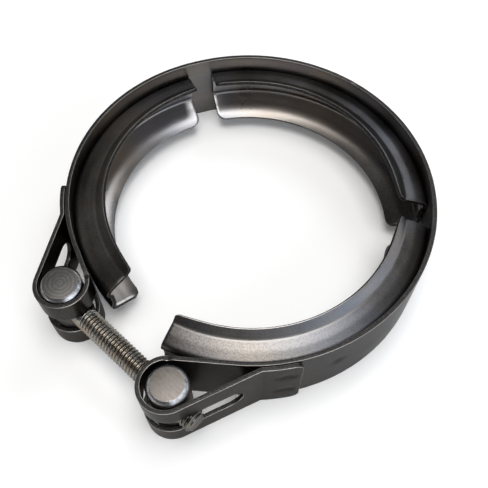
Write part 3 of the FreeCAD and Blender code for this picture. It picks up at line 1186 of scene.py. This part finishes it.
class CLAMP_OT_stage(bpy.types.Operator):
    """Lay the pale floor, stand the backdrop and set the lights and the camera"""

    bl_idname = "clamp.stage"
    bl_label = "Stage"

    def execute(self, context):
        settings = context.scene.clamp_stage
        make_floor(settings)
        make_lights(settings)
        make_camera(settings)
        context.scene.view_settings.view_transform = "Standard"
        return {"FINISHED"}


def seen_ray(look):
    """1 where a ray comes from the camera or through a mirror or glass, otherwise 0."""
    path = look.node("ShaderNodeLightPath").outputs
    mirrored = look.maths("MAXIMUM", path["Is Glossy Ray"], path["Is Transmission Ray"])
    return look.maths("MAXIMUM", path["Is Camera Ray"], mirrored)


def pale_paper(name, glow):
    """White paper that also shows its own brightness to the camera and in reflections."""
    paper = Finish(name)
    paper.shader.inputs["Base Color"].default_value = PAPER
    paper.shader.inputs["Roughness"].default_value = 0.9
    paper.shader.inputs["Emission Color"].default_value = (1, 1, 1, 1)
    strength = paper.node("ShaderNodeMath", operation="MULTIPLY")
    paper.join(seen_ray(paper), strength.inputs[0])
    strength.inputs[1].default_value = glow
    paper.join(strength.outputs[0], paper.shader.inputs["Emission Strength"])
    return paper.material


def make_floor(settings):
    """Square of paper, and a low wall of it round the edge."""
    corners = [(x * FLOOR_HALF, y * FLOOR_HALF) for x, y in ((-1, -1), (1, -1), (1, 1), (-1, 1))]
    floor = bmesh.new()
    floor.faces.new([floor.verts.new((x, y, STRAP_BOTTOM)) for x, y in corners])
    make_object("floor", floor, [pale_paper("pale_paper", settings.paper_glow)])
    wall = bmesh.new()
    low = [wall.verts.new((x, y, STRAP_BOTTOM)) for x, y in corners]
    high = [wall.verts.new((x, y, STRAP_BOTTOM + settings.backdrop_height)) for x, y in corners]
    for index in range(4):
        wall.faces.new((low[index - 1], low[index], high[index], high[index - 1]))
    make_object("backdrop", wall, [pale_paper("pale_backdrop", settings.backdrop_glow)])


def make_lights(settings):
    """Pale sky, and area lights that face the clamp."""
    world = bpy.data.worlds.new("studio")
    bpy.context.scene.world = world
    world.use_nodes = True
    sky = world.node_tree.nodes["Background"]
    sky.inputs["Color"].default_value = (1, 1, 1, 1)
    sky.inputs["Strength"].default_value = settings.sky
    places = (
        ("overhead", (0.06, -0.03, 1.0), (0.66, 0.66), settings.overhead_power, (1.0, 0.985, 0.965)),
        ("side", (0.5, -0.05, 0.26), (0.75, 0.24), settings.side_power, (0.86, 0.92, 1.0)),
        ("back", (-0.06, 0.44, 0.46), (0.26, 0.24), settings.back_power, (0.88, 0.93, 1.0)),
        ("corner", (0.44, 0.46, 0.24), (0.36, 0.2), settings.corner_power, (0.8, 0.88, 1.0)),
    )
    for name, place, size, power, colour in places:
        light = bpy.data.lights.new(name, "AREA")
        light.shape = "RECTANGLE"
        light.size, light.size_y = size
        light.energy = power
        light.color = colour
        lamp = bpy.data.objects.new(name, light)
        lamp.location = place
        lamp.rotation_mode = "QUATERNION"
        lamp.rotation_quaternion = (-Vector(place)).to_track_quat("-Z", "Y")
        bpy.context.scene.collection.objects.link(lamp)


def make_camera(settings):
    """Camera above the front, at the right."""
    camera = bpy.data.cameras.new("camera")
    camera.lens = settings.lens
    camera.sensor_width = 36
    camera.clip_start = 0.01
    holder = bpy.data.objects.new("camera", camera)
    holder.location = CAMERA_PLACE
    holder.rotation_mode = "QUATERNION"
    holder.rotation_quaternion = (CAMERA_AIM - CAMERA_PLACE).to_track_quat("-Z", "Y")
    bpy.context.scene.collection.objects.link(holder)
    bpy.context.scene.camera = holder


class CLAMP_PT_sidebar(bpy.types.Panel):
    """Lists the clamp's pieces and their settings"""

    bl_idname = "CLAMP_PT_sidebar"
    bl_label = "Vee Band Clamp"
    bl_space_type = "VIEW_3D"
    bl_region_type = "UI"
    bl_category = "Clamp"

    def draw(self, context):
        layout = self.layout
        for group in ("clamp_sizes", "clamp_finishes", "clamp_stage"):
            settings = getattr(context.scene, group)
            box = layout.box()
            for key in settings.__annotations__:
                box.prop(settings, key)
        for operator in PIECES:
            layout.operator(operator.bl_idname)


PIECES = (CLAMP_OT_strap, CLAMP_OT_retainers, CLAMP_OT_trunnions, CLAMP_OT_stud, CLAMP_OT_stage)
GROUPS = (
    ("clamp_sizes", ClampSizes),
    ("clamp_finishes", ClampFinishes),
    ("clamp_stage", StageSettings),
)


def register():
    for name, group in GROUPS:
        bpy.utils.register_class(group)
        setattr(bpy.types.Scene, name, PointerProperty(type=group))
    for piece in PIECES:
        bpy.utils.register_class(piece)
    bpy.utils.register_class(CLAMP_PT_sidebar)


def unregister():
    bpy.utils.unregister_class(CLAMP_PT_sidebar)
    for piece in reversed(PIECES):
        bpy.utils.unregister_class(piece)
    for name, group in reversed(GROUPS):
        delattr(bpy.types.Scene, name)
        bpy.utils.unregister_class(group)


def main():
    register()
    bpy.ops.clamp.strap()
    bpy.ops.clamp.retainers()
    bpy.ops.clamp.trunnions()
    bpy.ops.clamp.stud()
    bpy.ops.clamp.stage()


if __name__ == "__main__":
    main()
